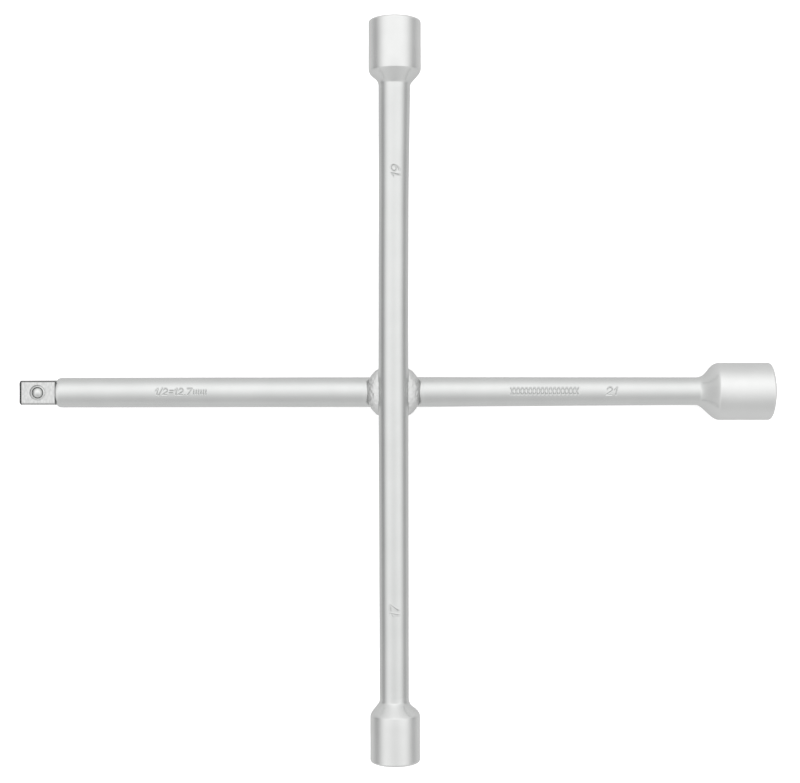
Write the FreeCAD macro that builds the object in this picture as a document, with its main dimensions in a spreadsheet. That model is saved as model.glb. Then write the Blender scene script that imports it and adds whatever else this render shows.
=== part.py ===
"""Four-way lug wrench: two crossed round bars, welded where they cross, with hexagon sockets
for 17, 19 and 21 mm nuts on three ends and a 12.7 mm (1/2 in) square drive on the fourth.

The wrench lies flat: +X points to the 21 mm socket, +Y to the 19 mm socket, +Z up. The origin is
on the floor, straight below the point where the two bars cross. All sizes are in millimetres.
"""

import FreeCAD, Part
import math
import os

import Sketcher
from FreeCAD import Placement, Rotation, Vector

OUT = "parts"
doc = FreeCAD.newDocument("LugWrench")

# ---------------------------------------------------------------- driving dimensions

DIMENSIONS = [
    # the crossing
    ("axis_gap", 11.0, "height of the upright bar's axis above the cross bar's axis"),
    ("weld_reach", 14.2, "radius of the weld bulge, seen from above"),
    ("weld_rise", 6.0, "half the thickness of the weld bulge, at its middle"),
    # upright bar, along Y
    ("upright_diameter", 15.4, "drawn bar, through the crossing"),
    ("upright_top_diameter", 16.3, "at the weld to the 19 mm socket, where it is upset"),
    ("upright_bottom_diameter", 15.0, "at the weld to the 17 mm socket"),
    ("upright_swell_start", 88.0, "distance from the crossing where the upper end starts to swell"),
    # cross bar, along X
    ("cross_diameter", 15.6, "drawn bar, through the crossing"),
    ("cross_drive_diameter", 15.4, "at the weld to the square drive"),
    ("cross_socket_diameter", 14.6, "at the weld to the 21 mm socket"),
    ("cross_taper_start", 24.0, "distance from the crossing where the socket end starts to taper"),
    # distance of each end's outermost face, and of its weld, from the crossing
    ("socket_19_mouth", 191.6, "19 mm socket, mouth"),
    ("socket_19_weld", 156.0, "19 mm socket, weld plane"),
    ("socket_17_mouth", 190.5, "17 mm socket, mouth"),
    ("socket_17_weld", 157.0, "17 mm socket, weld plane"),
    ("socket_21_mouth", 197.0, "21 mm socket, mouth"),
    ("socket_21_weld", 154.0, "21 mm socket, weld plane"),
    ("drive_tip", 194.6, "square drive, end face"),
    ("drive_weld", 160.0, "square drive, weld plane"),
    # socket shells, measured inwards from the mouth
    ("socket_19_flats", 19.0, "nominal width across flats"),
    ("socket_19_outer", 27.0, "outer diameter"),
    ("socket_19_shoulder", 26.8, "where the shoulder cone starts"),
    ("socket_19_neck", 32.1, "where the shoulder cone ends"),
    ("socket_19_shoulder_round", 4.0, "radius between shell and cone"),
    ("socket_19_neck_round", 3.0, "radius between cone and neck"),
    ("socket_19_bore_depth", 25.0, "depth of the round bore"),
    ("socket_17_flats", 17.0, "nominal width across flats"),
    ("socket_17_outer", 25.7, "outer diameter"),
    ("socket_17_shoulder", 25.0, "where the shoulder cone starts"),
    ("socket_17_neck", 30.3, "where the shoulder cone ends"),
    ("socket_17_shoulder_round", 3.5, "radius between shell and cone"),
    ("socket_17_neck_round", 2.5, "radius between cone and neck"),
    ("socket_17_bore_depth", 24.0, "depth of the round bore"),
    ("socket_21_flats", 21.0, "nominal width across flats"),
    ("socket_21_outer", 30.0, "outer diameter"),
    ("socket_21_shoulder", 29.3, "where the shoulder cone starts"),
    ("socket_21_neck", 36.5, "where the shoulder cone ends"),
    ("socket_21_shoulder_round", 3.0, "radius between shell and cone"),
    ("socket_21_neck_round", 8.0, "radius between cone and neck"),
    ("socket_21_bore_depth", 27.0, "depth of the round bore"),
    ("hex_play", 0.2, "extra width across flats, so that a nut goes in"),
    ("hex_depth", 18.0, "depth of each hexagon"),
    ("lead_in", 0.6, "width of the chamfer outside the hexagon's corners"),
    ("bore_step", 0.5, "how far the round bore's wall stands inside the flats"),
    ("rim_round", 1.0, "radius on each socket's outer edge"),
    ("bore_point_angle", 59.0, "half the angle of the conical end of the bores"),
    # square drive, measured inwards from the tip
    ("drive_square", 12.7, "width across the square's flats, 1/2 in"),
    ("drive_square_length", 18.9, "length of the square"),
    ("drive_corners", 16.6, "diameter of the circle that cuts the square's corners"),
    ("drive_tip_chamfer", 1.0, "chamfer around the end face"),
    ("drive_collar_diameter", 15.1, "round collar, beside the square"),
    ("drive_collar_round", 2.0, "radius on the collar's edge"),
    # spring detent in the square's upper face
    ("ball_diameter", 6.0, "steel ball"),
    ("ball_place", 9.5, "distance of the ball's axis from the tip"),
    ("ball_rise", 1.3, "how far the ball stands out of the face, which is also its travel"),
    ("stake_diameter", 7.7, "outside of the staked ring around the ball"),
    ("lip_diameter", 5.5, "inside of the staked lip that keeps the ball in"),
    ("lip_top", 0.35, "depth of the lip's upper edge below the face"),
    ("lip_bottom", 0.45, "depth of the lip's lower edge below the face"),
    ("pocket_top", 0.9, "depth where the ball's bore reaches its full width"),
    ("pocket_diameter", 6.16, "bore that guides the ball, 0.08 clearance all round"),
    ("pocket_depth", 8.8, "depth of the bore's straight wall"),
    ("pocket_point_angle", 70.0, "half the angle of the bore's conical end"),
    ("wire_diameter", 0.6, "spring wire"),
    ("coil_diameter", 4.4, "spring, at the middle of its wire"),
    ("coil_turns", 4.5, "turns of the spring"),
    ("coil_top", 4.2, "depth of the topmost wire's middle below the face"),
    ("coil_bottom", 8.65, "depth of the lowest wire's middle below the face"),
]


def make_sheet():
    """Spreadsheet of the driving dimensions: name, value and meaning, one row each."""
    sheet = doc.addObject("Spreadsheet::Sheet", "Sizes")
    for row, (alias, value, meaning) in enumerate(DIMENSIONS, start=1):
        sheet.set(f"A{row}", alias)
        sheet.set(f"B{row}", str(value))
        sheet.setAlias(f"B{row}", alias)
        sheet.set(f"C{row}", meaning)
    doc.recompute()
    return sheet


sizes = make_sheet()


def size(alias):
    """The number in the sheet's cell of that name."""
    return float(sizes.get(alias))


# ---------------------------------------------------------------- shared modelling steps


def new_body(label, placement):
    body = doc.addObject("PartDesign::Body", label)
    body.Label = label
    body.Placement = placement
    return body


def sketch_on(body, role, name):
    """A new sketch on the body's own origin plane of that role."""
    plane = next(f for f in body.Origin.OriginFeatures if f.Role == role)
    sketch = body.newObject("Sketcher::SketchObject", name)
    sketch.AttachmentSupport = [(plane, "")]
    sketch.MapMode = "FlatFace"
    return sketch


def pin_point(sketch, geometry, end, across, up):
    """Holds one end of a piece of geometry at the coordinates that two formulas give."""
    for kind, axis, formula in (("DistanceX", -2, across), ("DistanceY", -1, up)):
        if formula == "0":
            sketch.addConstraint(Sketcher.Constraint("PointOnObject", geometry, end, axis))
            continue
        value = float(sketch.evalExpression(formula))
        number = sketch.addConstraint(Sketcher.Constraint(kind, -1, 1, geometry, end, value))
        sketch.setExpression(f"Constraints[{number}]", formula)


def outline(sketch, corners):
    """A closed outline of straight lines through corners, each a pair of formulas."""
    points = [Vector(float(sketch.evalExpression(x)), float(sketch.evalExpression(y)), 0) for x, y in corners]
    count = len(points)
    first = sketch.GeometryCount
    for i in range(count):
        sketch.addGeometry(Part.LineSegment(points[i], points[(i + 1) % count]), False)
    for i in range(count):
        sketch.addConstraint(Sketcher.Constraint("Coincident", first + i, 2, first + (i + 1) % count, 1))
    for i, (x, y) in enumerate(corners):
        pin_point(sketch, first + i, 1, x, y)


def turn(body, kind, name, sketch, axis="H_Axis"):
    """A full Revolution or Groove of a sketch about one of its own axes."""
    feature = body.newObject(f"PartDesign::{kind}", name)
    feature.Profile = sketch
    feature.ReferenceAxis = (sketch, [axis])
    feature.Angle = 360.0
    doc.recompute()
    return feature


def round_edges(body, name, chosen, formula, kind="Fillet", measure="Radius"):
    """A Fillet or Chamfer on the edges of the body's tip for which chosen(edge) is true."""
    base = body.Tip
    names = [f"Edge{i}" for i, edge in enumerate(base.Shape.Edges, start=1) if chosen(edge)]
    if not names:
        raise ValueError(f"{body.Label}: no edge found for {name}")
    feature = body.newObject(f"PartDesign::{kind}", name)
    feature.Base = (base, names)
    feature.setExpression(measure, formula)
    doc.recompute()
    return feature


def ring_at(place, radius):
    """Tells whether an edge is a circle about the piece's long axis, at that place and radius."""

    def chosen(edge):
        curve = edge.Curve
        if not isinstance(curve, Part.Circle):
            return False
        start = edge.Vertexes[0].Point
        reach = math.hypot(start.y, start.z)
        return abs(start.x - place) < 0.01 and abs(reach - radius) < 0.01 and abs(curve.Axis.x) > 0.99

    return chosen


def cut_must_bite(body, feature, before):
    """Stops the build if a cut took nothing away."""
    if feature.Shape.Volume > before - 0.01:
        raise ValueError(f"{body.Label}: {feature.Name} cuts nothing")


# ---------------------------------------------------------------- where each piece lies

# A piece's long axis is its local X, from its outer face or its lower weld inwards.
CROSS_AXIS = size("socket_21_outer") / 2
UPRIGHT_AXIS = CROSS_AXIS + size("axis_gap")
MIDDLE = CROSS_AXIS + size("axis_gap") / 2

ALONG_X = Rotation()
AGAINST_X = Rotation(Vector(0, 0, 1), 180)
ALONG_Y = Rotation(Vector(0, 0, 1), 90)
AGAINST_Y = Rotation(Vector(0, 0, 1), -90)
ALONG_Y_UPSIDE_DOWN = Rotation(Vector(1, 1, 0), 180)

# ---------------------------------------------------------------- the two bars


def make_bar(label, placement, stations, crossing, own, other):
    """Round bar with a saddle pressed into the side that faces the other bar, local +Z.

    stations are (distance, diameter) formulas along the bar; crossing, own and other are formulas
    for the distance of the crossing and the two bars' diameters there.
    """
    body = new_body(label, placement)
    profile = sketch_on(body, "XY_Plane", label + "_profile")
    length = stations[-1][0]
    outline(profile, [("0", "0")] + [(x, f"({d}) / 2") for x, d in stations] + [(length, "0")])
    turn(body, "Revolution", label + "_turned", profile)

    saddle = sketch_on(body, "XZ_Plane", label + "_saddle_outline")
    middle = float(saddle.evalExpression(crossing))
    gap = size("axis_gap")
    radius = float(saddle.evalExpression(other)) / 2
    half = math.sqrt(radius**2 - (gap / 2) ** 2)
    dip = math.asin(gap / 2 / radius)
    circle = Part.Circle(Vector(middle, gap, 0), Vector(0, 0, 1), radius)
    saddle.addGeometry(Part.ArcOfCircle(circle, -dip, math.pi + dip), False)
    ends = (Vector(middle - half, gap / 2, 0), Vector(middle + half, gap / 2, 0))
    saddle.addGeometry(Part.LineSegment(*ends), False)
    saddle.addConstraint(Sketcher.Constraint("Coincident", 0, 2, 1, 1))
    saddle.addConstraint(Sketcher.Constraint("Coincident", 0, 1, 1, 2))
    saddle.addConstraint(Sketcher.Constraint("Horizontal", 1))
    pin_point(saddle, 0, 3, crossing, "Sizes.axis_gap")
    number = saddle.addConstraint(Sketcher.Constraint("Radius", 0, radius))
    saddle.setExpression(f"Constraints[{number}]", f"({other}) / 2")
    number = saddle.addConstraint(Sketcher.Constraint("DistanceY", -1, 1, 1, 1, gap / 2))
    saddle.setExpression(f"Constraints[{number}]", "Sizes.axis_gap / 2")

    before = body.Tip.Shape.Volume
    cut = body.newObject("PartDesign::Pocket", label + "_saddle")
    cut.Profile = saddle
    cut.Midplane = True
    cut.setExpression("Length", f"2 * ({own})")
    doc.recompute()
    cut_must_bite(body, cut, before)
    return body


upright_bar = make_bar(
    "upright_bar",
    Placement(Vector(0, -size("socket_17_weld"), UPRIGHT_AXIS), ALONG_Y_UPSIDE_DOWN),
    [
        ("0", "Sizes.upright_bottom_diameter"),
        ("Sizes.socket_17_weld - 2 * Sizes.weld_reach", "Sizes.upright_diameter"),
        ("Sizes.socket_17_weld + Sizes.upright_swell_start", "Sizes.upright_diameter"),
        ("Sizes.socket_17_weld + Sizes.socket_19_weld", "Sizes.upright_top_diameter"),
    ],
    "Sizes.socket_17_weld",
    "Sizes.upright_diameter",
    "Sizes.cross_diameter",
)

cross_bar = make_bar(
    "cross_bar",
    Placement(Vector(-size("drive_weld"), 0, CROSS_AXIS), ALONG_X),
    [
        ("0", "Sizes.cross_drive_diameter"),
        ("Sizes.drive_weld / 4", "Sizes.cross_diameter"),
        ("Sizes.drive_weld + Sizes.cross_taper_start", "Sizes.cross_diameter"),
        ("Sizes.drive_weld + Sizes.socket_21_weld", "Sizes.cross_socket_diameter"),
    ],
    "Sizes.drive_weld",
    "Sizes.cross_diameter",
    "Sizes.upright_diameter",
)

# ---------------------------------------------------------------- weld at the crossing


def make_crossing_weld():
    """Upset metal squeezed out all round when the bars were pressed and fused together."""
    bulge = doc.addObject("Part::Ellipsoid", "weld_bulge")
    bulge.Placement = Placement(Vector(0, 0, MIDDLE), Rotation())
    bulge.setExpression("Radius1", "Sizes.weld_rise")
    bulge.setExpression("Radius2", "Sizes.weld_reach")
    bulge.setExpression("Radius3", "Sizes.weld_reach")
    without_upright = doc.addObject("Part::Cut", "weld_without_upright")
    without_upright.Base = bulge
    without_upright.Tool = upright_bar
    weld = doc.addObject("Part::Cut", "crossing_weld")
    weld.Label = "crossing_weld"
    weld.Base = without_upright
    weld.Tool = cross_bar
    doc.recompute()
    return weld


crossing_weld = make_crossing_weld()

# ---------------------------------------------------------------- sockets


def make_socket(label, direction, corner, bar_diameter):
    """Forged socket: round shell, shoulder cone and neck outside; hexagon and round bore inside.

    direction turns local +X from the mouth towards the crossing, corner is the mouth's centre.
    """

    def own(name):
        return f"Sizes.{label}_{name}"

    body = new_body(label, Placement(corner, direction))
    length = f"({own('mouth')} - {own('weld')})"
    shell = f"({own('outer')} / 2)"
    neck = f"(Sizes.{bar_diameter} / 2)"
    profile = sketch_on(body, "XY_Plane", label + "_profile")
    outline(
        profile,
        [
            ("0", "0"),
            ("0", shell),
            (own("shoulder"), shell),
            (own("neck"), neck),
            (length, neck),
            (length, "0"),
        ],
    )
    turn(body, "Revolution", label + "_forging", profile)
    outer = size(label + "_outer") / 2
    throat = size(bar_diameter) / 2
    round_edges(
        body, label + "_shoulder", ring_at(size(label + "_shoulder"), outer), own("shoulder_round")
    )
    round_edges(body, label + "_neck", ring_at(size(label + "_neck"), throat), own("neck_round"))
    round_edges(body, label + "_rim", ring_at(0, outer), "Sizes.rim_round")

    flats = f"({own('flats')} + Sizes.hex_play)"
    corner_radius = f"({flats} / 2 / cos(30))"
    bore = f"({own('flats')} / 2 - Sizes.bore_step)"
    mouth = f"({corner_radius} + Sizes.lead_in)"
    inside = sketch_on(body, "XY_Plane", label + "_bore_outline")
    point = f"({own('bore_depth')} + {bore} / tan(Sizes.bore_point_angle))"
    outline(
        inside,
        [
            ("0", "0"),
            ("0", mouth),
            (f"({mouth} - {bore})", bore),
            (own("bore_depth"), bore),
            (point, "0"),
        ],
    )
    before = body.Tip.Shape.Volume
    bored = turn(body, "Groove", label + "_bore", inside)
    cut_must_bite(body, bored, before)

    hexagon = sketch_on(body, "YZ_Plane", label + "_hexagon_outline")
    radius = float(hexagon.evalExpression(corner_radius))
    corners = [Vector(radius, 0, 0)]
    for k in range(6):
        angle = math.radians(60 * (k + 1))
        corners.append(Vector(radius * math.cos(angle), radius * math.sin(angle), 0))
        hexagon.addGeometry(Part.LineSegment(corners[k], corners[k + 1]), False)
    guide = hexagon.addGeometry(Part.Circle(Vector(), Vector(0, 0, 1), radius), True)
    for k in range(6):
        hexagon.addConstraint(Sketcher.Constraint("Coincident", k, 2, (k + 1) % 6, 1))
        hexagon.addConstraint(Sketcher.Constraint("PointOnObject", k, 1, guide))
    for k in range(1, 6):
        hexagon.addConstraint(Sketcher.Constraint("Equal", 0, k))
    hexagon.addConstraint(Sketcher.Constraint("Coincident", guide, 3, -1, 1))
    hexagon.addConstraint(Sketcher.Constraint("PointOnObject", 0, 1, -1))
    number = hexagon.addConstraint(Sketcher.Constraint("Radius", guide, radius))
    hexagon.setExpression(f"Constraints[{number}]", corner_radius)
    before = body.Tip.Shape.Volume
    broached = body.newObject("PartDesign::Pocket", label + "_hexagon")
    broached.Profile = hexagon
    broached.Reversed = True
    broached.setExpression("Length", "Sizes.hex_depth")
    doc.recompute()
    cut_must_bite(body, broached, before)
    return body


socket_19 = make_socket(
    "socket_19",
    AGAINST_Y,
    Vector(0, size("socket_19_mouth"), UPRIGHT_AXIS),
    "upright_top_diameter",
)
socket_17 = make_socket(
    "socket_17",
    ALONG_Y,
    Vector(0, -size("socket_17_mouth"), UPRIGHT_AXIS),
    "upright_bottom_diameter",
)
socket_21 = make_socket(
    "socket_21",
    AGAINST_X,
    Vector(size("socket_21_mouth"), 0, CROSS_AXIS),
    "cross_socket_diameter",
)

# ---------------------------------------------------------------- square drive


def truncated_square(sketch, side, across_corners):
    """A square about the sketch's origin, its corners cut by a circle; both sizes are formulas."""
    half = float(sketch.evalExpression(side)) / 2
    radius = float(sketch.evalExpression(across_corners)) / 2
    start = math.acos(half / radius)
    circle = Part.Circle(Vector(), Vector(0, 0, 1), radius)
    for k in range(4):
        turned = math.radians(90 * k)
        sketch.addGeometry(Part.ArcOfCircle(circle, turned + start, turned + math.pi / 2 - start), False)
    for k in range(4):
        ends = (sketch.Geometry[k].EndPoint, sketch.Geometry[(k + 1) % 4].StartPoint)
        sketch.addGeometry(Part.LineSegment(*ends), False)
    for k in range(4):
        sketch.addConstraint(Sketcher.Constraint("Coincident", k, 3, -1, 1))
        sketch.addConstraint(Sketcher.Constraint("Coincident", k, 2, 4 + k, 1))
        sketch.addConstraint(Sketcher.Constraint("Coincident", 4 + k, 2, (k + 1) % 4, 1))
    for k in range(1, 4):
        sketch.addConstraint(Sketcher.Constraint("Equal", 0, k))
    number = sketch.addConstraint(Sketcher.Constraint("Radius", 0, radius))
    sketch.setExpression(f"Constraints[{number}]", f"{across_corners} / 2")
    for k in range(4):
        direction = "Vertical" if k % 2 else "Horizontal"
        sketch.addConstraint(Sketcher.Constraint(direction, 4 + k))
        number = sketch.addConstraint(Sketcher.Constraint("Distance", -1, 1, 4 + k, half))
        sketch.setExpression(f"Constraints[{number}]", f"{side} / 2")


def make_square_drive():
    """Forged and milled end: round collar, then the square with its drilled and staked pocket."""
    body = new_body("square_drive", Placement(Vector(-size("drive_tip"), 0, CROSS_AXIS), ALONG_X))
    length = "(Sizes.drive_tip - Sizes.drive_weld)"
    collar = sketch_on(body, "XY_Plane", "collar_profile")
    outline(
        collar,
        [
            ("Sizes.drive_square_length", "0"),
            ("Sizes.drive_square_length", "Sizes.drive_collar_diameter / 2"),
            (length, "Sizes.cross_drive_diameter / 2"),
            (length, "0"),
        ],
    )
    turn(body, "Revolution", "collar", collar)
    edge = ring_at(size("drive_square_length"), size("drive_collar_diameter") / 2)
    round_edges(body, "collar_edge", edge, "Sizes.drive_collar_round")

    square = sketch_on(body, "YZ_Plane", "square_outline")
    truncated_square(square, "Sizes.drive_square", "Sizes.drive_corners")
    tang = body.newObject("PartDesign::Pad", "square")
    tang.Profile = square
    tang.setExpression("Length", "Sizes.drive_square_length + Sizes.drive_collar_round")
    doc.recompute()
    round_edges(
        body,
        "tip_chamfer",
        lambda e: all(abs(v.Point.x) < 0.01 for v in e.Vertexes),
        "Sizes.drive_tip_chamfer",
        "Chamfer",
        "Size",
    )

    face = "Sizes.drive_square / 2"
    pocket_end = "(Sizes.pocket_depth + Sizes.pocket_diameter / 2 / tan(Sizes.pocket_point_angle))"
    pocket = sketch_on(body, "XZ_Plane", "pocket_profile")
    pocket.setExpression(".AttachmentOffset.Base.x", "Sizes.ball_place")
    outline(
        pocket,
        [
            ("0", f"{face} + 1"),
            ("Sizes.stake_diameter / 2", f"{face} + 1"),
            ("Sizes.stake_diameter / 2", face),
            ("Sizes.lip_diameter / 2", f"{face} - Sizes.lip_top"),
            ("Sizes.lip_diameter / 2", f"{face} - Sizes.lip_bottom"),
            ("Sizes.pocket_diameter / 2", f"{face} - Sizes.pocket_top"),
            ("Sizes.pocket_diameter / 2", f"{face} - Sizes.pocket_depth"),
            ("0", f"{face} - {pocket_end}"),
        ],
    )
    before = body.Tip.Shape.Volume
    drilled = turn(body, "Groove", "ball_pocket", pocket, "V_Axis")
    cut_must_bite(body, drilled, before)
    return body


square_drive = make_square_drive()

# ---------------------------------------------------------------- spring detent

BALL_X = -size("drive_tip") + size("ball_place")
FACE_Z = CROSS_AXIS + size("drive_square") / 2


def make_detent_ball():
    """Hardened ball that the staked lip keeps in the square."""
    ball = doc.addObject("Part::Sphere", "detent_ball")
    ball.Label = "detent_ball"
    ball.setExpression("Radius", "Sizes.ball_diameter / 2")
    centre = FACE_Z + size("ball_rise") - size("ball_diameter") / 2
    ball.Placement = Placement(Vector(BALL_X, 0, centre), Rotation())
    doc.recompute()
    return ball


def make_detent_spring():
    """Compression spring below the ball."""
    low = Vector(BALL_X, 0, FACE_Z - size("coil_bottom"))
    body = new_body("detent_spring", Placement(low, Rotation()))
    wire = sketch_on(body, "XZ_Plane", "wire_section")
    centre = Vector(size("coil_diameter") / 2, 0, 0)
    wire.addGeometry(Part.Circle(centre, Vector(0, 0, 1), size("wire_diameter") / 2), False)
    pin_point(wire, 0, 3, "Sizes.coil_diameter / 2", "0")
    number = wire.addConstraint(Sketcher.Constraint("Radius", 0, size("wire_diameter") / 2))
    wire.setExpression(f"Constraints[{number}]", "Sizes.wire_diameter / 2")
    doc.recompute()
    coil = body.newObject("PartDesign::AdditiveHelix", "coil")
    coil.Profile = wire
    coil.ReferenceAxis = (wire, ["V_Axis"])
    coil.Mode = "height-turns-angle"
    coil.setExpression("Height", "Sizes.coil_bottom - Sizes.coil_top")
    coil.setExpression("Turns", "Sizes.coil_turns")
    doc.recompute()
    return body


detent_ball = make_detent_ball()
detent_spring = make_detent_spring()

# ---------------------------------------------------------------- check and write

NODES = [
    upright_bar,
    cross_bar,
    crossing_weld,
    socket_19,
    socket_17,
    socket_21,
    square_drive,
    detent_ball,
    detent_spring,
]

doc.recompute()
for item in doc.Objects:
    if "Invalid" in item.State or "Error" in item.State:
        raise ValueError(f"{item.Label} failed: {item.State}")
os.makedirs(OUT, exist_ok=True)
for node in NODES:
    shape = node.Shape
    if shape.isNull() or not shape.isValid() or not shape.Solids:
        raise ValueError(f"{node.Label} has no valid solid")
    shape.exportStep(os.path.join(OUT, node.Label + ".step"))
    print(f"{node.Label:15s} {len(shape.Solids)} solid, {shape.Volume:10.2f} mm3")
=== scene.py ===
import math

import bmesh
import bpy
import numpy as np
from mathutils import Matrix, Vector, noise


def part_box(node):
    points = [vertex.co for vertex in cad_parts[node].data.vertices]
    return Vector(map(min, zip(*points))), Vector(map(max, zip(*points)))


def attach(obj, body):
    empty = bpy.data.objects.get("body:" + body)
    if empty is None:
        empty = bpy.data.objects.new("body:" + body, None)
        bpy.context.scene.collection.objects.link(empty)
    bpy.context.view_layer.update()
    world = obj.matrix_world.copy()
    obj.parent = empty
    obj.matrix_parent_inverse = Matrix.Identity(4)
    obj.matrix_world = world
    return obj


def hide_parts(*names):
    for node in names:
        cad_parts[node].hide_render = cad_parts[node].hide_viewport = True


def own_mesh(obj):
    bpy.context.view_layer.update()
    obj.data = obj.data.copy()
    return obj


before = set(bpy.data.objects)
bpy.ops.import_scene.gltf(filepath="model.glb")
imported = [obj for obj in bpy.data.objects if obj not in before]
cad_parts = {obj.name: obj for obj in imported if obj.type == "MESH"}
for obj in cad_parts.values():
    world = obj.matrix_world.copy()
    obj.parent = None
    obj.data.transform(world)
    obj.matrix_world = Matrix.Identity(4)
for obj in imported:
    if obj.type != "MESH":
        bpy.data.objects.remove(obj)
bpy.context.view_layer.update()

MM = 0.001

# ---------------------------------------------------------------------------------------------
# Camera: straight above the crossing and a little to the 21 mm side, with +Y up in the frame.
# A portrait lens about three quarters of a metre away looks down on the flat-lying wrench.

upright_low, upright_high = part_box("upright_bar")
cross_low, cross_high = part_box("cross_bar")
upright_axis_z = (upright_low.z + upright_high.z) / 2
cross_axis_z = (cross_low.z + cross_high.z) / 2
crossing = Vector((0, 0, (upright_axis_z + cross_axis_z) / 2))

camera_data = bpy.data.cameras.new("camera")
camera_data.lens = 62.9
camera_data.sensor_width = 36
camera_data.clip_start = 0.05
camera_data.clip_end = 50
camera = bpy.data.objects.new("camera", camera_data)
camera.location = crossing + Vector((3.3, 0.28, 727)) * MM
camera.rotation_euler.z = math.radians(-0.11)
bpy.context.scene.collection.objects.link(camera)
bpy.context.scene.camera = camera

# ---------------------------------------------------------------------------------------------
# Upright bar: drawn chrome-vanadium bar, upset thicker towards the 19 mm end, barrel plated to a
# satin chrome. The sizes of its two sockets are stamped across it, read from below.


def spun_skin(name, centre, along, reach, radius, angles, bow=0.0):
    """Closed skin round an axis. reach and radius hold a row per ring and a column per angle.

    bow shifts the skin in +X for a piece along Y, and in +Y for a piece along X.
    """
    side = Vector((0, 0, 1)).cross(along)
    bowed = np.array((abs(along.y), abs(along.x), 0))
    rings, columns = radius.shape
    outward = np.outer(np.cos(angles), side) + np.outer(np.sin(angles), (0, 0, 1))
    points = (
        np.array(centre)
        + reach[:, :, None] * np.array(along)
        + radius[:, :, None] * outward[None, :, :]
        + (reach * 0 + bow)[:, :, None] * bowed
    ).reshape(-1, 3)
    here = np.arange(rings - 1)[:, None] * columns + np.arange(columns)[None, :]
    after = np.arange(rings - 1)[:, None] * columns + (np.arange(columns)[None, :] + 1) % columns
    quads = np.stack([here, after, after + columns, here + columns], axis=2).reshape(-1, 4)
    mesh = bpy.data.meshes.new(name)
    mesh.from_pydata(points.tolist(), [], quads.tolist())
    skin = bpy.data.objects.new(name, mesh)
    bpy.context.scene.collection.objects.link(skin)
    join_doubles(skin)
    return skin


def join_doubles(piece, gap=2e-6):
    """Merges vertices that lie on each other, such as a whole ring drawn together on the axis."""
    work = bmesh.new()
    work.from_mesh(piece.data)
    bmesh.ops.remove_doubles(work, verts=work.verts, dist=gap)
    bmesh.ops.dissolve_degenerate(work, edges=work.edges, dist=gap / 4)
    work.to_mesh(piece.data)
    work.free()


def smooth(piece, crease=32):
    """Smooth shading everywhere except across edges sharper than crease, in degrees."""
    piece.data.shade_smooth()
    piece.data.set_sharp_from_angle(angle=math.radians(crease))


def arc(x, y, half_width, half_height, start, stop):
    """Points along an ellipse's arc, angles in degrees."""
    turn = np.radians(np.linspace(start, stop, 13))
    return [(x + half_width * math.cos(t), y + half_height * math.sin(t)) for t in turn]


# Stamp faces, as strokes in a cell one unit high, with the width that each takes up.
NUMERALS = {
    "1": (0.62, [[(0.0, 0.7), (0.3, 1.0), (0.3, 0.0)]]),
    "2": (0.98, [arc(0.34, 0.7, 0.34, 0.3, 165, -38) + [(0.0, 0.0), (0.74, 0.0)]]),
    "7": (0.94, [[(0.0, 1.0), (0.7, 1.0), (0.22, 0.0)]]),
    "9": (1.0, [arc(0.36, 0.68, 0.36, 0.32, 0, 360), arc(0.0, 0.68, 0.72, 0.72, 0, -66)]),
    "/": (0.55, [[(0.0, -0.08), (0.34, 1.08)]]),
    "=": (0.84, [[(0.06, 0.68), (0.62, 0.68)], [(0.06, 0.32), (0.62, 0.32)]]),
    ".": (0.36, [[(0.08, 0.04), (0.14, 0.04)]]),
}
LEAN = 0.2


def stamp_strokes(text, height):
    """Line segments of a stamped row of leaning figures, centred on its middle, as point pairs."""
    pen, segments = 0.0, []
    for figure in text:
        width, strokes = NUMERALS[figure]
        for stroke in strokes:
            placed = [np.array((pen + x + LEAN * (y - 0.5), y - 0.5)) for x, y in stroke]
            segments += zip(placed, placed[1:])
        pen += width
    middle = np.array(((pen - 0.2) / 2, 0))
    return [((a - middle) * height, (b - middle) * height) for a, b in segments]


def struck(along, across, segments, half_width=0.42, depth=0.34):
    """How far the stamp's wedge-shaped strokes push the surface in, in millimetres.

    The metal that they push aside stands up beside them as a low lip.
    """
    places = np.stack([along, across], axis=-1)
    nearest = np.full(along.shape, 1e3)
    for a, b in segments:
        line = b - a
        share = np.clip(((places - a) @ line) / max(line @ line, 1e-9), 0, 1)
        nearest = np.minimum(nearest, np.linalg.norm(places - a - share[..., None] * line, axis=-1))
    wedge = np.clip(1 - nearest / half_width, 0, 1)
    lip = np.exp(-(((nearest / half_width - 1.25) / 0.35) ** 2))
    return depth * (wedge**1.2 - 0.26 * lip)


WELD_REACH = 13.9
WELD_RISE = 6.4
WELD_FULLNESS = 2.3


def weld_plan(x, y):
    """Size of the weld's outline through a point, seen from above: a circle, a little squared."""
    return (np.abs(x) ** WELD_FULLNESS + np.abs(y) ** WELD_FULLNESS) ** (1 / WELD_FULLNESS)


def weld_gap(points):
    """Distance, in millimetres, outside the bulge of the crossing's weld; below zero inside it."""
    flat = weld_plan(points[..., 0], points[..., 1]) / WELD_REACH
    rise = points[..., 2] / WELD_RISE
    slope = 2 * np.hypot(flat / WELD_REACH, rise / WELD_RISE)
    return (flat**2 + rise**2 - 1) / slope


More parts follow.
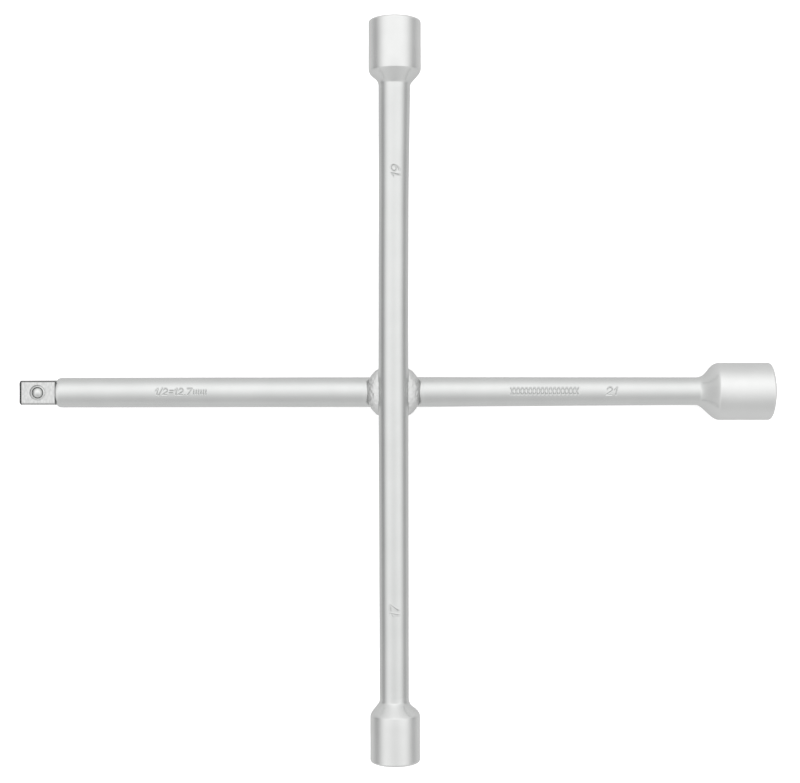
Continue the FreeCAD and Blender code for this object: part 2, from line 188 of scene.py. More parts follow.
def bar_skin(name, low_end, high_end, along, axis_z, girth, bow, stamps):
    """Round bar with stamped figures and a root ridge where the weld grew out of it.

    girth and bow give the radius and the centre line's shift at a distance from the crossing; a
    stamp is (place, across, strokes, half its length). All sizes are in millimetres. Rings and
    angles are close together only where there is detail.
    """
    spots = [np.linspace(low_end, high_end, 90), np.linspace(-19, 19, 250)]
    for place, _, _, half in stamps:
        spots.append(np.linspace(place - half, place + half, int(half * 2 / 0.13)))
    reach = np.unique(np.round(np.concatenate(spots), 3))
    top = np.radians(np.arange(48, 132, 0.85))
    rest = np.radians(np.arange(132, 408, 3.0))
    angles = np.concatenate([top, rest])
    far, turn = np.meshgrid(reach, angles, indexing="ij")
    radius = girth(far)
    across = radius * (math.pi / 2 - turn)
    for place, lift, strokes, half in stamps:
        inside = (np.abs(far - place) <= half) & (np.abs(across) < 6)
        radius[inside] -= struck(far[inside] - place, across[inside] - lift, strokes)
    # root of the weld: the bar's skin rises into it and ends in a crease
    side = Vector((0, 0, 1)).cross(along)
    spread = far[..., None] * np.array(along) + radius[..., None] * (
        np.cos(turn)[..., None] * np.array(side) + np.sin(turn)[..., None] * np.array((0, 0, 1))
    )
    spread[..., 2] += axis_z / MM - crossing.z / MM
    gap = weld_gap(spread)
    beside_weld = np.abs(far) > 5
    radius += 0.18 * np.exp(-(((gap - 1.2) / 0.7) ** 2)) * beside_weld
    radius -= 0.38 * np.exp(-(((gap - 0.15) / 0.25) ** 2)) * beside_weld
    # a long, shallow waviness from drawing and hand polishing, gone at the ground end seams
    from_end = np.clip(np.minimum(far - low_end, high_end - far) / 10, 0, 1)
    wave = np.sin(far / 9.0 + 1.3 * np.sin(turn)) + np.sin(far / 21.0 + turn)
    radius += 0.012 * wave * from_end
    ends = [np.zeros((1, len(angles)))]
    reach_rows = np.concatenate([far[:1], far, far[-1:]]) * MM
    radius_rows = np.concatenate(ends + [radius] + ends) * MM
    centre = Vector((0, 0, axis_z))
    skin = spun_skin(name, centre, along, reach_rows, radius_rows, angles, bow(reach_rows / MM) * MM)
    smooth(skin)
    # how deep in the weld's root crease each point lies, for the painted shade there
    points = np.array([point.co for point in skin.data.vertices]) - np.array(crossing)
    root = skin.data.attributes.new("root", "FLOAT", "POINT")
    root.data.foreach_set("value", np.exp(-(((weld_gap(points / MM) - 0.1) / 0.3) ** 2)))
    return skin


def satin_chrome(name, tone, roughness, grain, grain_height, cloud=0.05):
    """Satin chrome plate: cloudy roughness, fine pitted grain and faint handling marks."""
    material = bpy.data.materials.new(name)
    material.use_nodes = True
    nodes, links = material.node_tree.nodes, material.node_tree.links
    shader = nodes["Principled BSDF"]
    shader.inputs["Metallic"].default_value = 1.0
    place = nodes.new("ShaderNodeTexCoord")

    def field(scale, detail=2.0, low=0.35, high=0.65, to_low=0.0, to_high=1.0, stretch=None):
        source = place.outputs["Object"]
        if stretch:
            mapping = nodes.new("ShaderNodeMapping")
            mapping.inputs["Scale"].default_value = stretch
            links.new(source, mapping.inputs["Vector"])
            source = mapping.outputs["Vector"]
        pattern = nodes.new("ShaderNodeTexNoise")
        pattern.inputs["Scale"].default_value = scale
        pattern.inputs["Detail"].default_value = detail
        links.new(source, pattern.inputs["Vector"])
        spread = nodes.new("ShaderNodeMapRange")
        spread.inputs["From Min"].default_value = low
        spread.inputs["From Max"].default_value = high
        spread.inputs["To Min"].default_value = to_low
        spread.inputs["To Max"].default_value = to_high
        links.new(pattern.outputs["Fac"], spread.inputs["Value"])
        return spread.outputs["Result"]

    clouds = field(70, 4.0)
    tint = nodes.new("ShaderNodeMix")
    tint.data_type = "RGBA"
    tint.inputs[6].default_value = [c * (1 - cloud) for c in tone] + [1]
    tint.inputs[7].default_value = [*tone, 1]
    links.new(clouds, tint.inputs[0])
    links.new(tint.outputs[2], shader.inputs["Base Color"])

    soft = field(160, 3.0, to_low=roughness, to_high=roughness + 0.02)
    specks = field(1500, 1.0, 0.5, 0.75, 0.0, 0.01)
    total = nodes.new("ShaderNodeMath")
    total.operation = "ADD"
    links.new(soft, total.inputs[0])
    links.new(specks, total.inputs[1])
    links.new(total.outputs[0], shader.inputs["Roughness"])

    pits = field(grain, 2.0, 0.3, 0.7)
    bump = nodes.new("ShaderNodeBump")
    bump.inputs["Strength"].default_value = 1.0
    bump.inputs["Distance"].default_value = grain_height
    links.new(pits, bump.inputs["Height"])
    links.new(bump.outputs["Normal"], shader.inputs["Normal"])
    return material


CHROME_TONE = (0.640, 0.648, 0.642)
plate = satin_chrome("satin_chrome", CHROME_TONE, 0.235, 1100, 0.000002, 0.03)


def blend_colour(material, make_share, other):
    """Mixes another colour into a plate's; make_share adds the nodes for where, and how much."""
    nodes, links = material.node_tree.nodes, material.node_tree.links
    colour = nodes["Principled BSDF"].inputs["Base Color"]
    blend = nodes.new("ShaderNodeMix")
    blend.data_type = "RGBA"
    links.new(colour.links[0].from_socket, blend.inputs[6])
    blend.inputs[7].default_value = [*other, 1]
    links.new(make_share(nodes, links), blend.inputs[0])
    links.new(blend.outputs[2], colour)


def weld_crease_shade(nodes, links):
    # where the painted shade of the weld's root crease goes, and how dark
    lookup = nodes.new("ShaderNodeAttribute")
    lookup.attribute_name = "root"
    return lookup.outputs["Fac"]


# painted shade in the crease at the root of the weld, where the bars run into its bulge
blend_colour(plate, weld_crease_shade, (0.42, 0.42, 0.42))


def upright_girth(far):
    """Radius along the upright bar: drawn to size below, upset towards the 19 mm socket."""
    swell = np.clip((far - 96) / 58, 0, 1)
    sink = np.clip((-far - 20) / 134, 0, 1)
    return 7.7 + 0.45 * swell * swell * (3 - 2 * swell) ** 0.6 - 0.2 * sink


def upright_bow(far):
    """Side shift of the upright bar's centre line: it is bent a little by the pressing."""
    return np.where(far > 0, 3e-5 * far**2, 0.12 * (1 - np.exp(-((far / 70) ** 2)))) - 0.06


upright_bar = bar_skin(
    "upright_bar_plated",
    upright_low.y / MM,
    upright_high.y / MM,
    Vector((0, 1, 0)),
    upright_axis_z,
    upright_girth,
    upright_bow,
    [
        (113.3, -0.8, stamp_strokes("19", 4.3), 5.2),
        (-112.0, -0.2, stamp_strokes("17", 4.2), 5.2),
    ],
)
upright_bar.data.materials.append(plate)
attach(upright_bar, "wrench")
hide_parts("upright_bar")

# ---------------------------------------------------------------------------------------------
# Cross bar: the same drawn bar, a little thicker, drawn down towards the 21 mm socket. It lies
# under the upright bar. Stamped with the drive's size, the socket's size and two rows of strokes.


def cross_girth(far):
    """Radius along the cross bar: full from the drive to past the crossing, then a slow taper."""
    taper = np.clip((far - 24) / 130, 0, 1) ** 0.8
    lead = np.clip((-far - 120) / 36, 0, 1)
    return 7.8 - 0.5 * taper - 0.03 * lead


def cross_bow(far):
    """Side shift of the cross bar's centre line, on the socket's side of the crossing only."""
    return np.where(far > 0, 0.16 * (1 - np.exp(-((far / 80) ** 2))), 0.0)


def tick_row(count, pitch, height, *leans):
    """A plain row of strokes; with two leans they cross each other like a knurl."""
    first = -(count - 1) * pitch / 2
    strokes = []
    for k in range(count):
        foot = first + k * pitch
        for lean in leans:
            strokes.append((np.array((foot - lean, -height / 2)), np.array((foot + lean, height / 2))))
    return strokes


cross_bar = bar_skin(
    "cross_bar_plated",
    cross_low.x / MM,
    cross_high.x / MM,
    Vector((1, 0, 0)),
    cross_axis_z,
    cross_girth,
    cross_bow,
    [
        (-114.2, 0.4, stamp_strokes("1/2=12.7", 3.3), 10.5),
        (-100.6, 0.1, tick_row(6, 1.25, 2.3, 0.1), 4.2),
        (113.4, 0.2, stamp_strokes("21", 3.9), 4.6),
        (78.3, 0.2, tick_row(17, 2.1, 3.5, 0.75, -0.75), 18.2),
    ],
)
cross_bar.data.materials.append(plate)
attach(cross_bar, "wrench")
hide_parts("cross_bar")

# ---------------------------------------------------------------------------------------------
# Crossing weld: metal squeezed out when the two bars were pressed together red hot. It is a
# rounded disc with a mottled, cast-like skin under the plating, never machined.

weld_angles = np.radians(np.arange(0, 360, 1.25))
share = np.linspace(-1, 1, 121)
rise = WELD_RISE * np.sin(share * math.pi / 2)
reach_out = WELD_REACH * np.cos(share * math.pi / 2)
rise_grid = np.repeat(rise[:, None], len(weld_angles), axis=1)
reach_grid = reach_out[:, None] / weld_plan(np.cos(weld_angles), np.sin(weld_angles))
weld_points = np.stack(
    [reach_grid * np.cos(weld_angles), reach_grid * np.sin(weld_angles), rise_grid], axis=-1
).reshape(-1, 3)
mottle = np.array(
    [
        0.18 * noise.fractal(Vector(p) * 0.55, 0.8, 2.1, 4) + 0.10 * noise.noise(Vector(p) * 0.16)
        for p in weld_points
    ]
)
weld_points *= (1 + mottle / WELD_REACH)[:, None]
weld_points = weld_points * MM + np.array(crossing)
columns = len(weld_angles)
here = np.arange(len(share) - 1)[:, None] * columns + np.arange(columns)[None, :]
after = np.arange(len(share) - 1)[:, None] * columns + (np.arange(columns)[None, :] + 1) % columns
weld_quads = np.stack([here, after, after + columns, here + columns], axis=2).reshape(-1, 4)
weld_mesh = bpy.data.meshes.new("crossing_weld_bulge")
weld_mesh.from_pydata(weld_points.tolist(), [], weld_quads.tolist())
weld = bpy.data.objects.new("crossing_weld_bulge", weld_mesh)
bpy.context.scene.collection.objects.link(weld)
join_doubles(weld)
smooth(weld, 60)
weld.data.materials.append(satin_chrome("weld_chrome", (0.675, 0.68, 0.675), 0.28, 700, 0.00012, 0.16))
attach(weld, "wrench")
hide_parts("crossing_weld")

# ---------------------------------------------------------------------------------------------
# Socket heads: drop-forged cups with a broached hexagon and a drilled bore behind it. The two
# die halves never match, so each shoulder has a rounder side and a straighter side.

SOCKETS = {
    # node: hexagon, neck radius, side shift of the head, and the places along the bar where the
    # shoulder's cone starts and ends
    "socket_19": (19.0, 8.15, 0.9, 159.5, 164.8),
    "socket_17": (17.0, 7.50, 0.5, 160.2, 165.5),
    "socket_21": (21.0, 7.30, 0.0, 160.5, 167.7),
}
# how the cone is eased into the neck and into the shell, in shares of its own length: how far
# before and after it the easing reaches, and how far the curve runs straight on at each end
SHOULDER_EASES = (
    (0.4, 0.4, 1.1, 0.9),  # rounder side
    (0.3, 0.4, 0.5, 0.6),  # plainer side
    (0.2, 0.1, 0.2, 0.1),  # upper and lower faces
)
HEX_PLAY = 0.2
HEX_DEPTH = 18.0
BORE_DEPTH = {"socket_19": 25.0, "socket_17": 24.0, "socket_21": 27.0}
LEAD_IN = 0.6
RIM_ROUND = 1.1


def shoulder(neck_at, shoulder_at, neck_radius, outer_radius, neck_pull, shoulder_pull, steps):
    """Forged shoulder as a curve that leaves the neck and meets the shell along the axis."""
    t = np.linspace(0, 1, steps)
    places = (neck_at, neck_at + neck_pull, shoulder_at - shoulder_pull, shoulder_at)
    radii = (neck_radius, neck_radius, outer_radius, outer_radius)
    weights = ((1 - t) ** 3, 3 * t * (1 - t) ** 2, 3 * t * t * (1 - t), t**3)
    return (
        sum(w * p for w, p in zip(weights, places)),
        sum(w * r for w, r in zip(weights, radii)),
    )


def socket_skin(node):
    hexagon, neck_radius, shift, cone_start, cone_end = SOCKETS[node]
    cone = cone_end - cone_start
    low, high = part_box(node)
    on_y = (high.y - low.y) > (high.x - low.x)
    if on_y and high.y > 0:
        along, mouth, weld_at = Vector((0, 1, 0)), high.y / MM, low.y / MM
    elif on_y:
        along, mouth, weld_at = Vector((0, -1, 0)), -low.y / MM, -high.y / MM
    else:
        along, mouth, weld_at = Vector((1, 0, 0)), high.x / MM, low.x / MM
    outer = (high.z - low.z) / 2 / MM
    centre = Vector((0, 0, (low.z + high.z) / 2))
    columns = 288
    angles = np.arange(columns) * 2 * math.pi / columns
    # how much of each curve there is at each angle: the sides, by the flash line, are rounded off
    sideways = np.abs(np.cos(angles)) ** 3
    shares = (sideways * (np.cos(angles) > 0), sideways * (np.cos(angles) <= 0), 1 - sideways)
    reach, radius = [], []

    def ring(x, r):
        reach.append(np.broadcast_to(x, (columns,)))
        radius.append(np.broadcast_to(r, (columns,)))

    ring(weld_at, 0.0)
    ring(weld_at, neck_radius)
    drawn = []
    for early, late, leave, meet in SHOULDER_EASES:
        places = (cone_start - early * cone, cone_end + late * cone)
        drawn.append(shoulder(*places, neck_radius, outer - 0.02, leave * cone, meet * cone, 60))
    for k in range(60):
        places = sum(part * places[k] for part, (places, _) in zip(shares, drawn))
        ring(places, sum(part * radii[k] for part, (_, radii) in zip(shares, drawn)))
    for x in np.linspace(171.0, mouth - RIM_ROUND - 0.3, 24):
        fade = min(1.0, (x - 171.0) / 4)
        ring(x, outer - 0.02 + 0.02 * fade * np.sin(x / 3.7 + 2 * angles))
    for turn in np.linspace(0, math.pi / 2, 9):
        ring(
            mouth - RIM_ROUND + RIM_ROUND * math.sin(turn),
            outer - RIM_ROUND + RIM_ROUND * math.cos(turn) - 0.02 * math.cos(turn),
        )
    across = hexagon + HEX_PLAY
    corner = across / 2 / math.cos(math.radians(30))
    # flats face up and down
    bearing = (angles - math.radians(90) + math.radians(30)) % math.radians(60) - math.radians(30)
    flat = np.minimum(across / 2 / np.cos(bearing), corner - 0.12)
    mouth_radius = corner + LEAD_IN
    bore = hexagon / 2 - 0.5
    ring(mouth, mouth_radius + 0.12)
    ring(mouth - 0.04, mouth_radius + 0.03)
    ring(mouth - 0.12, mouth_radius - 0.10)
    for share in (0.35, 0.7, 0.97, 1.0):
        r = mouth_radius - share * (mouth_radius - flat)
        ring(mouth - (mouth_radius - r) - (0.05 if share == 1.0 else 0.0), r)
    for share in (0.03, 0.3, 0.6, 0.97, 1.0):
        ring(mouth - (mouth_radius - flat) * (1 - share) - 0.2 - share * (HEX_DEPTH - 0.2), flat)
    ring(mouth - HEX_DEPTH, bore + 0.1)
    ring(mouth - HEX_DEPTH - 0.1, bore)
    ring(mouth - BORE_DEPTH[node], bore)
    ring(mouth - BORE_DEPTH[node] - bore / math.tan(math.radians(59)), 0.0)
    reach = np.array(reach)
    # the head's own axis lies a little beside the bar's, and the neck leads over
    start = (upright_bow if on_y else cross_bow)(weld_at * (along.x + along.y))
    lead = np.clip((reach - weld_at) / (168 - weld_at), 0, 1)
    bow = start + (shift - start) * lead * lead * (3 - 2 * lead)
    skin = spun_skin(
        node + "_forged", centre, along, reach * MM, np.array(radius) * MM, angles, bow * MM
    )
    smooth(skin, 28)
    return skin


def neck_share(nodes, links):
    """All of the bar's colour at the seam, none of it past the shoulder."""
    place = nodes.new("ShaderNodeTexCoord")
    away = nodes.new("ShaderNodeVectorMath")
    away.operation = "LENGTH"
    links.new(place.outputs["Object"], away.inputs[0])
    share = nodes.new("ShaderNodeMapRange")
    share.interpolation_type = "SMOOTHSTEP"
    share.inputs["From Min"].default_value = 158 * MM
    share.inputs["From Max"].default_value = 172 * MM
    share.inputs["To Min"].default_value = 1.0
    share.inputs["To Max"].default_value = 0.0
    links.new(away.outputs["Value"], share.inputs["Value"])
    return share.outputs["Result"]


head_plate = satin_chrome("head_chrome", (0.70, 0.705, 0.70), 0.24, 900, 0.000004, 0.03)
blend_colour(head_plate, neck_share, CHROME_TONE)
for node in SOCKETS:
    head = socket_skin(node)
    head.data.materials.append(head_plate)
    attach(head, "wrench")
    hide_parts(node)

# ---------------------------------------------------------------------------------------------
# Square drive: the bar's end, forged and milled to 12.7 mm, with its corners left as turned and a
# relief groove at its root. The upper flat is drilled for the ball and staked round it, then the
# whole end is plated; the milling marks show through.

drive_low, drive_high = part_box("square_drive")
ball_low, ball_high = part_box("detent_ball")
drive_axis_z = (drive_low.z + drive_high.z) / 2
DRIVE_ALONG = Vector((-1, 0, 0))
DRIVE_TIP = -drive_low.x / MM
DRIVE_WELD = -drive_high.x / MM
SQUARE = 12.7
CORNERS = 16.6
SQUARE_LENGTH = 18.9
TIP_CHAMFER = 1.0
COLLAR_RADIUS = 7.77
COLLAR_ROUND = (2.3, 0.9)
RELIEF = (0.45, 0.35)
SQUARE_ROOT = DRIVE_TIP - SQUARE_LENGTH


def drive_skin():
    columns = 360
    angles = (np.arange(columns) + 0.5) * 2 * math.pi / columns
    sides = np.maximum(np.abs(np.cos(angles)), np.abs(np.sin(angles)))
    square = np.minimum(SQUARE / 2 / sides, CORNERS / 2)
    reach, radius = [], []

    def ring(x, r):
        reach.append(np.broadcast_to(x, (columns,)))
        radius.append(np.broadcast_to(r, (columns,)))

    ring(DRIVE_WELD, 0.0)
    for x in np.linspace(DRIVE_WELD, SQUARE_ROOT - COLLAR_ROUND[0], 12):
        ring(x, COLLAR_RADIUS)
    for turn in np.linspace(0, math.pi / 2, 16)[1:]:
        x = SQUARE_ROOT - COLLAR_ROUND[0] * (1 - math.sin(turn))
        ring(x, COLLAR_RADIUS - COLLAR_ROUND[1] * (1 - math.cos(turn)))
    # down into the relief groove, and up again onto the square
    groove = np.minimum(square, COLLAR_RADIUS - COLLAR_ROUND[1]) - RELIEF[1]
    for share in (0.12, 0.3, 0.5, 0.62):
        ring(SQUARE_ROOT + RELIEF[0] * share, groove + 0.3 * abs(share - 0.3))
    for share in (0.85, 1.0):
        ring(SQUARE_ROOT + RELIEF[0] * share, groove + (square - groove) * (share - 0.5) / 0.5)
    for x in np.linspace(SQUARE_ROOT + RELIEF[0] + 0.2, DRIVE_TIP - TIP_CHAMFER - 0.15, 40):
        ring(x, square)
    for share in np.linspace(0, 1, 7):
        slope = 1 - TIP_CHAMFER * share * sides / (SQUARE / 2)
        ring(DRIVE_TIP - TIP_CHAMFER + TIP_CHAMFER * math.sin(share * math.pi / 2), square * slope)
    ring(DRIVE_TIP, square * 0.5)
    ring(DRIVE_TIP, 0.0)
    return spun_skin(
        "square_drive_milled",
        Vector((0, 0, drive_axis_z)),
        DRIVE_ALONG,
        np.array(reach) * MM,
        np.array(radius) * MM,
        angles,
    )


def turned_body(name, place, outline, columns=144):
    """A closed turned body about an upright axis; outline is pairs of radius and height."""
    turn = np.arange(columns) * 2 * math.pi / columns
    points, faces = [], []
    for r, z in outline:
        points += [(place[0] + r * MM * math.cos(t), place[1] + r * MM * math.sin(t), z) for t in turn]
    for k in range(len(outline) - 1):
        for j in range(columns):
            n = (j + 1) % columns
            faces.append((k * columns + j, k * columns + n, (k + 1) * columns + n, (k + 1) * columns + j))
    mesh = bpy.data.meshes.new(name)
    mesh.from_pydata(points, [], faces)
    body = bpy.data.objects.new(name, mesh)
    bpy.context.scene.collection.objects.link(body)
    join_doubles(body)
    return body


drive = drive_skin()
ball_x = (ball_low.x + ball_high.x) / 2
face_z = drive_axis_z + SQUARE / 2 * MM
# from the drilled bore up past the lip, over the staked ridge and out of the punch's groove
POCKET = (
    (0.0, 9.92),
    (3.08, 8.8),
    (3.08, 0.9),
    (2.80, 0.56),
    (2.77, 0.44),
    (2.84, 0.32),
    (3.02, 0.12),
    (3.14, 0.05),
    (3.30, 0.10),
    (3.46, 0.26),
    (3.62, 0.34),
    (3.76, 0.30),
    (3.95, 0.06),
    (4.06, 0.0),
    (4.06, -1.0),
    (0.0, -1.0),
)
punch = [(r, face_z - depth * MM) for r, depth in POCKET]
hole = turned_body("ball_hole", (ball_x, 0), punch)
cut = drive.modifiers.new("ball_hole", "BOOLEAN")
cut.operation = "DIFFERENCE"
cut.solver = "EXACT"
cut.object = hole
graph = bpy.context.evaluated_depsgraph_get()
drilled = bpy.data.meshes.new_from_object(drive.evaluated_get(graph))
drive.modifiers.clear()
drive.data = drilled
bpy.data.objects.remove(hole)
smooth(drive, 24)


def milled_chrome():
    """Plated steel with cutter marks across it, and painted shade in its corners, on its chamfer, round
    the ball, on the stakes and in the relief groove.
    """
    material = satin_chrome("milled_chrome", (0.655, 0.66, 0.655), 0.30, 1500, 0.00003, 0.03)
    nodes, links = material.node_tree.nodes, material.node_tree.links
    shader = nodes["Principled BSDF"]
    place = nodes.new("ShaderNodeTexCoord").outputs["Object"]

    def sum_of(operation, *terms):
        node = nodes.new("ShaderNodeMath")
        node.operation = operation
        for socket, term in zip(node.inputs, terms):
            if isinstance(term, (int, float)):
                socket.default_value = term
            else:
                links.new(term, socket)
        return node.outputs[0]

    def step(source, low, high, to_low=0.0, to_high=1.0):
        spread = nodes.new("ShaderNodeMapRange")
        spread.interpolation_type = "SMOOTHSTEP"
        spread.inputs["From Min"].default_value = low * MM
        spread.inputs["From Max"].default_value = high * MM
        spread.inputs["To Min"].default_value = to_low
        spread.inputs["To Max"].default_value = to_high
        links.new(source, spread.inputs["Value"])
        return spread.outputs["Result"]

    parts = nodes.new("ShaderNodeSeparateXYZ")
    links.new(place, parts.inputs["Vector"])
    x, y, z = (parts.outputs[k] for k in "XYZ")
    across = sum_of("ABSOLUTE", y)
    up = sum_of("ABSOLUTE", sum_of("SUBTRACT", z, drive_axis_z))
    # painted shade along the square's turned corners, darker on the +Y side than the -Y side
    corner = step(sum_of("MINIMUM", across, up), 5.25, 5.6)
    corner = sum_of("MULTIPLY", corner, step(y, -6.0, 6.0, 0.2, 0.8))
    # painted shade on the tip chamfer
    chamfer = step(x, -DRIVE_TIP + TIP_CHAMFER * 1.1, -DRIVE_TIP + TIP_CHAMFER * 1.45, 1.0, 0.0)
    chamfer = sum_of("MULTIPLY", chamfer, step(sum_of("MINIMUM", across, up), 5.8, 6.3, 1.0, 0.2))
    chamfer = sum_of("MULTIPLY", chamfer, step(x, -DRIVE_TIP + 0.01, -DRIVE_TIP + 0.06))
    from_ball = sum_of("POWER", sum_of("SUBTRACT", x, ball_x), 2.0)
    from_ball = sum_of("SQRT", sum_of("ADD", from_ball, sum_of("POWER", y, 2.0)))
    # painted shade in the crevice between the ball and its bore
    crevice = sum_of("MULTIPLY", step(from_ball, 2.85, 3.1, 0.75, 0.0), step(z, 17.0, 19.0))
    # painted shade on the staked ring round the ball, much darker on one side than the other
    stake = sum_of("MULTIPLY", step(from_ball, 3.66, 3.84), step(from_ball, 3.92, 4.1, 1.0, 0.0))
    lit_side = sum_of("SUBTRACT", y, sum_of("SUBTRACT", x, ball_x))
    stake = sum_of("MULTIPLY", stake, step(lit_side, -5.5, 4.0, 0.1, 0.85))
    # painted shade in the relief groove at the square's root
    root = step(x, -SQUARE_ROOT - RELIEF[0], -SQUARE_ROOT - RELIEF[0] * 0.6)
    root = sum_of("MULTIPLY", root, step(x, -SQUARE_ROOT - RELIEF[0] * 0.4, -SQUARE_ROOT, 1.0, 0.0))
    root = sum_of("MULTIPLY", root, step(across, 0.6, 3.0, 0.1, 0.3))
    # all the painted shade marks together
    painted_shade = sum_of("MAXIMUM", sum_of("MAXIMUM", corner, chamfer), sum_of("MAXIMUM", crevice, stake))
    painted_shade = sum_of("MAXIMUM", painted_shade, root)

    marks = nodes.new("ShaderNodeTexNoise")
    stretch = nodes.new("ShaderNodeMapping")
    stretch.inputs["Scale"].default_value = (1.0, 0.35, 1.0)
    links.new(place, stretch.inputs["Vector"])
    links.new(stretch.outputs["Vector"], marks.inputs["Vector"])
    marks.inputs["Scale"].default_value = 1300
    marks.inputs["Detail"].default_value = 1.0
    streaks = nodes.new("ShaderNodeMapRange")
    for name, value in (("From Min", 0.3), ("From Max", 0.7), ("To Min", 0.86), ("To Max", 1.06)):
        streaks.inputs[name].default_value = value
    links.new(marks.outputs["Fac"], streaks.inputs["Value"])

    plated = shader.inputs["Base Color"].links[0].from_socket
    scaled = nodes.new("ShaderNodeVectorMath")
    scaled.operation = "SCALE"
    burnished = sum_of("MULTIPLY", step(from_ball, 3.0, 3.15), step(from_ball, 3.55, 3.75, 0.14, 0.0))
    links.new(plated, scaled.inputs[0])
    links.new(sum_of("ADD", streaks.outputs["Result"], burnished), scaled.inputs["Scale"])
    # the painted shade takes the plated colour towards near black
    shade_mix = nodes.new("ShaderNodeMix")
    shade_mix.data_type = "RGBA"
    shade_mix.inputs[7].default_value = (0.10, 0.10, 0.10, 1)
    links.new(painted_shade, shade_mix.inputs[0])
    links.new(scaled.outputs[0], shade_mix.inputs[6])
    links.new(shade_mix.outputs[2], shader.inputs["Base Color"])
    return material


drive.data.materials.clear()
drive.data.materials.append(milled_chrome())
drive.data.materials.append(plate)
for polygon in drive.data.polygons:
    polygon.material_index = 1 if polygon.center.x > -SQUARE_ROOT * MM else 0
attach(drive, "wrench")
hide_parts("square_drive")

# ---------------------------------------------------------------------------------------------
# Detent ball: a hardened, polished steel ball that the staked lip keeps in its bore. The crown
# is scuffed by the sockets that snap over it.

ball_radius = (ball_high.z - ball_low.z) / 2
ball_z = (ball_low.z + ball_high.z) / 2
half_turn = np.linspace(0, math.pi, 49)
ball = turned_body(
    "detent_ball_polished",
    (ball_x, 0),
    [(ball_radius / MM * math.sin(t), ball_z - ball_radius * math.cos(t)) for t in half_turn],
    96,
)
smooth(ball, 60)
ball.data.materials.append(satin_chrome("ball_steel", (0.70, 0.71, 0.70), 0.16, 2600, 0.00001, 0.08))
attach(ball, "ball")
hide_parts("detent_ball")

# ---------------------------------------------------------------------------------------------
# Detent spring: cold-coiled music wire under the ball, with the last turn closed at each end.
# It is built at one fixed length; the real one shortens as the ball goes down.

spring_low, spring_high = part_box("detent_spring")
WIRE = 0.6 * MM
coil_radius = (spring_high.x - spring_low.x) / 2 - WIRE / 2
TURNS = 5.4
steps, around = 320, 14
points, faces = [], []
for i in range(steps + 1):
    share = i / steps
    climb = min(max((share - 0.12) / 0.76, 0), 1)
    turn = share * TURNS * 2 * math.pi
    closed = WIRE * (min(share, 0.12) + max(share - 0.88, 0)) * TURNS * 0.35
    height = spring_low.z + WIRE / 2 + closed
    height += climb * (spring_high.z - spring_low.z - WIRE * (1 + 0.24 * TURNS * 0.35))
    spoke = Vector((math.cos(turn), math.sin(turn), 0))
    middle = Vector((ball_x, 0, height)) + spoke * coil_radius
    for j in range(around):
        swing = j * 2 * math.pi / around
        points.append(middle + WIRE / 2 * (spoke * math.cos(swing) + Vector((0, 0, math.sin(swing)))))
    if i:
        base = (i - 1) * around
        for j in range(around):
            n = (j + 1) % around
            faces.append((base + j, base + around + j, base + around + n, base + n))
faces.append(list(range(around)))
faces.append(list(range(steps * around + around - 1, steps * around - 1, -1)))
spring_mesh = bpy.data.meshes.new("detent_spring_coiled")
spring_mesh.from_pydata(points, [], faces)
spring = bpy.data.objects.new("detent_spring_coiled", spring_mesh)
bpy.context.scene.collection.objects.link(spring)
smooth(spring, 50)
spring.data.materials.append(satin_chrome("spring_steel", (0.33, 0.33, 0.35), 0.34, 1200, 0.00001, 0.15))
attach(spring, "wrench")
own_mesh(spring)
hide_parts("detent_spring")

# ---------------------------------------------------------------------------------------------
# Floor and light: a plain pale sweep under soft studio light. The polished bars mirror the room,
# so the room is built by direction: a soft box on each side, a larger one behind, duller walls.

floor_mesh = bpy.data.meshes.new("floor")
REACH = 3.0
floor_mesh.from_pydata(
    [(-REACH, -REACH, 0), (REACH, -REACH, 0), (REACH, REACH, 0), (-REACH, REACH, 0)], [], [(0, 1, 2, 3)]
)
floor = bpy.data.objects.new("floor", floor_mesh)
bpy.context.scene.collection.objects.link(floor)
floor.location.z = -0.2 * MM
floor_material = bpy.data.materials.new("floor")
floor_material.use_nodes = True
floor_shader = floor_material.node_tree.nodes["Principled BSDF"]
floor_shader.inputs["Base Color"].default_value = (0.9, 0.9, 0.9, 1)
floor_shader.inputs["Roughness"].default_value = 0.9
floor_shader.inputs["Emission Color"].default_value = (1, 1, 1, 1)
floor_shader.inputs["Emission Strength"].default_value = 0.45
floor.data.materials.append(floor_material)
floor.visible_glossy = False

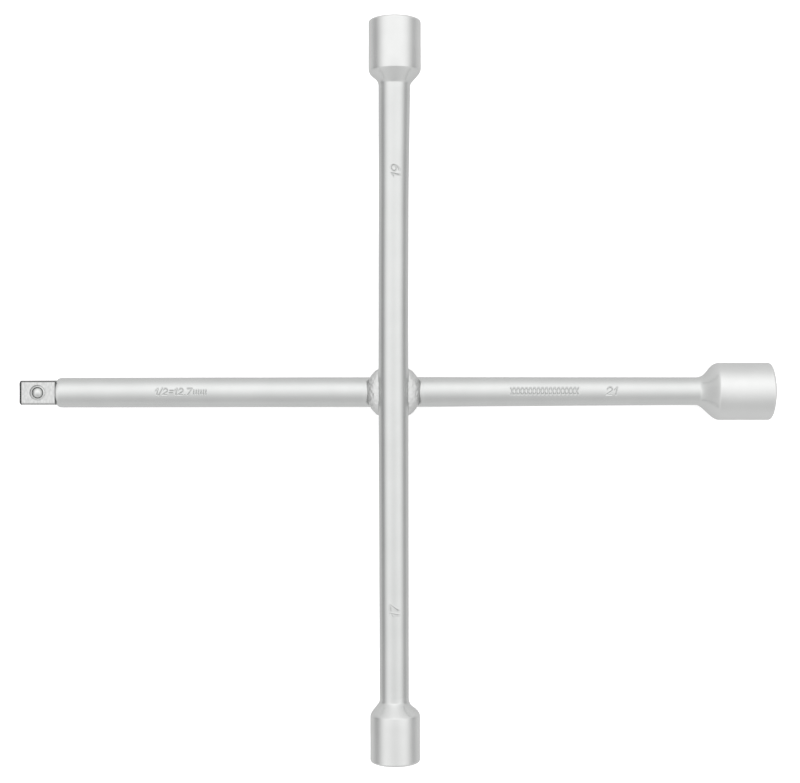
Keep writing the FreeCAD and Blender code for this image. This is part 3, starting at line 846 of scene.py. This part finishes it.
world = bpy.data.worlds.new("studio")
bpy.context.scene.world = world
world.use_nodes = True
room, wires = world.node_tree.nodes, world.node_tree.links
background = room["Background"]
direction = room.new("ShaderNodeTexCoord").outputs["Generated"]


def combine(operation, *terms):
    node = room.new("ShaderNodeMath")
    node.operation = operation
    for socket, term in zip(node.inputs, terms):
        if isinstance(term, (int, float)):
            socket.default_value = term
        else:
            wires.new(term, socket)
    return node.outputs[0]


def soft_light(bearing, height, spread, strength):
    """Light that fades with the angle from its middle; bearing is from +X, all in degrees."""
    flat = math.cos(math.radians(height))
    aim = room.new("ShaderNodeVectorMath")
    aim.operation = "DOT_PRODUCT"
    aim.inputs[1].default_value = (
        flat * math.cos(math.radians(bearing)),
        flat * math.sin(math.radians(bearing)),
        math.sin(math.radians(height)),
    )
    wires.new(direction, aim.inputs[0])
    fade = 1 / (1 - math.cos(math.radians(spread)))
    away = combine("MULTIPLY_ADD", aim.outputs["Value"], fade, -fade)
    return combine("MULTIPLY", combine("EXPONENT", away), strength)


LEFT, RIGHT, BEHIND, IN_FRONT = 180, 0, 90, 270
level = 0.85
for side, wall in ((LEFT, -0.5), (RIGHT, -0.4)):
    # a soft box up on each side, and a dull wall at the height of the table
    level = combine("ADD", level, soft_light(side, 45, 35, 0.35))
    level = combine("ADD", level, soft_light(side, 0, 25, wall))
# the main light hangs behind the wrench, and the front is a little darker
level = combine("ADD", level, soft_light(BEHIND, 50, 40, 0.5))
level = combine("ADD", level, soft_light(IN_FRONT, 40, 35, -0.15))
# straight down, the table lies in the wrench's own shade
level = combine("ADD", level, soft_light(IN_FRONT, -90, 40, -0.2))
level = combine("MAXIMUM", level, 0.1)
sight = room.new("ShaderNodeLightPath")
seen = room.new("ShaderNodeMix")
wires.new(sight.outputs["Is Camera Ray"], seen.inputs[0])
wires.new(level, seen.inputs[2])
seen.inputs[3].default_value = 1.0
wires.new(seen.outputs[0], background.inputs["Strength"])
background.inputs["Color"].default_value = (1, 1, 1, 1)

bpy.context.scene.view_settings.view_transform = "Standard"
bpy.context.scene.view_settings.look = "None"
